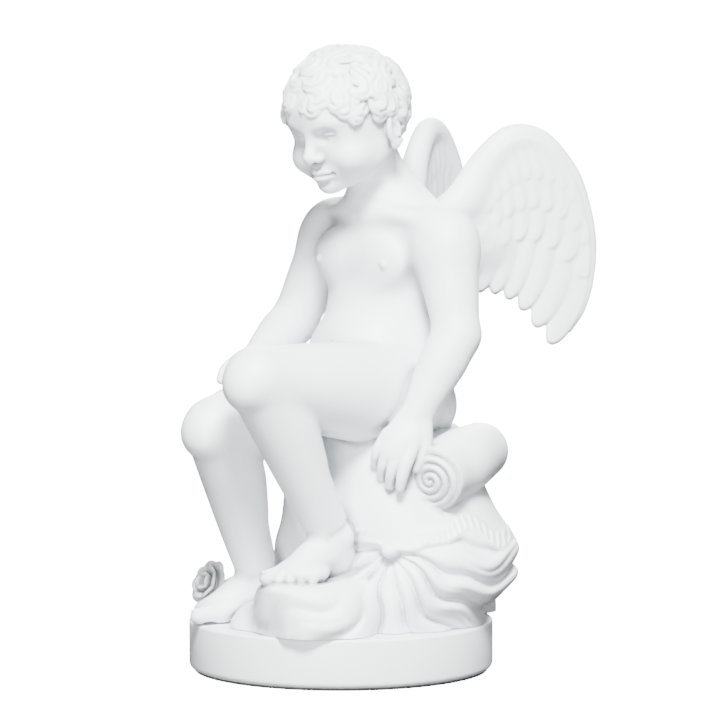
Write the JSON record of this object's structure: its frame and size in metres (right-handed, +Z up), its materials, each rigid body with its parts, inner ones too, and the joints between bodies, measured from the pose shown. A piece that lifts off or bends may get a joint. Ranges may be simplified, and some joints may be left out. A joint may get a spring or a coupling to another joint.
{
  "type": "seated putto statue",
  "caption": "White cast statue of a winged child sitting on a draped rock, on a round plinth with a felt pad, that stands by its own weight as an ornament.",
  "frame": {"origin": "middle of the felt pad's underside, where the statue stands", "axes": "+Z up; the figure faces -Y and its left side is +X"},
  "size_m": [0.3042, 0.4204, 0.593],
  "materials": {
    "white_cast": "white painted cast plaster, matt to satin",
    "felt": "dark grey pressed felt"
  },
  "bodies": {
    "root": {"putto_on_rock": "white_cast", "round_plinth": "white_cast", "felt_pad": "felt"}
  },
  "joints": []
}
